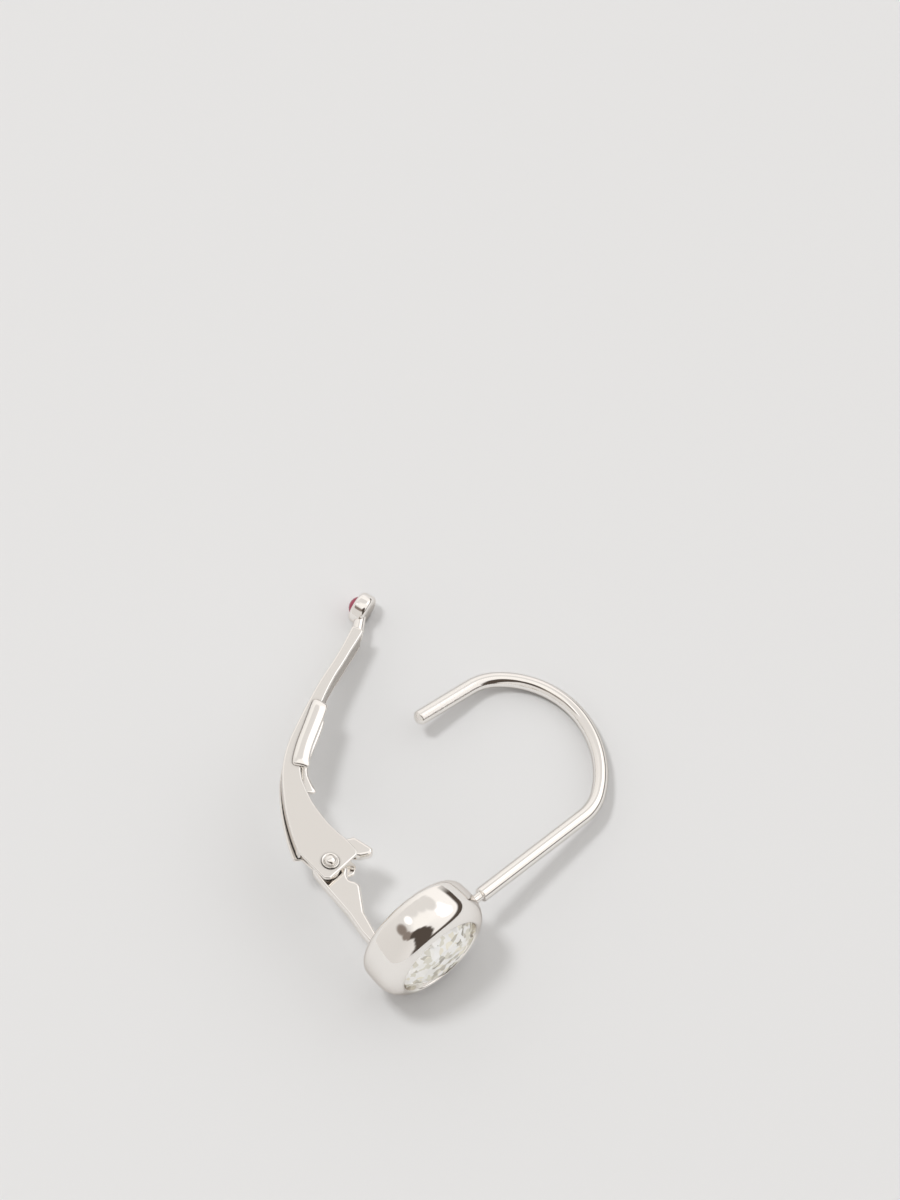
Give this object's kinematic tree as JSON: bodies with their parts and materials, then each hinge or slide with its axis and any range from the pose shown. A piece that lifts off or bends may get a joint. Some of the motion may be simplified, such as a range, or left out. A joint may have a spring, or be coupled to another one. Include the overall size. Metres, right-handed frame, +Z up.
{
  "type": "leverback earring with bezel-set diamond",
  "caption": "Leverback earring: a round brilliant in a thick rounded bezel, a round ear wire with a straight end, and a hinged channel lever standing open.",
  "frame": {"origin": "middle of the footprint of the whole earring, on the surface it lies on", "axes": "+Z up from the surface, +Y along the longest side of the footprint from the bezel towards the lever's tip, +X from the lever towards the ear wire"},
  "size_m": [0.0184, 0.025, 0.0072],
  "materials": {
    "white_gold": "polished",
    "diamond": "clear, faceted",
    "red_stone": "clear red, polished dome"
  },
  "bodies": {
    "frame": {"bezel_and_ear_wire": "white_gold", "diamond": "diamond"},
    "lever": {"lever": "white_gold", "red_stone": "red_stone", "hinge_pin": "white_gold"}
  },
  "joints": [
    {"name": "lever_hinge", "type": "hinge", "parent": "frame", "child": "lever", "pos_m": [-0.00641, -0.00538, 0.00361], "axis": [0.1104, 0.1444, 0.9833], "range_deg": [-24.5, 0]}
  ]
}
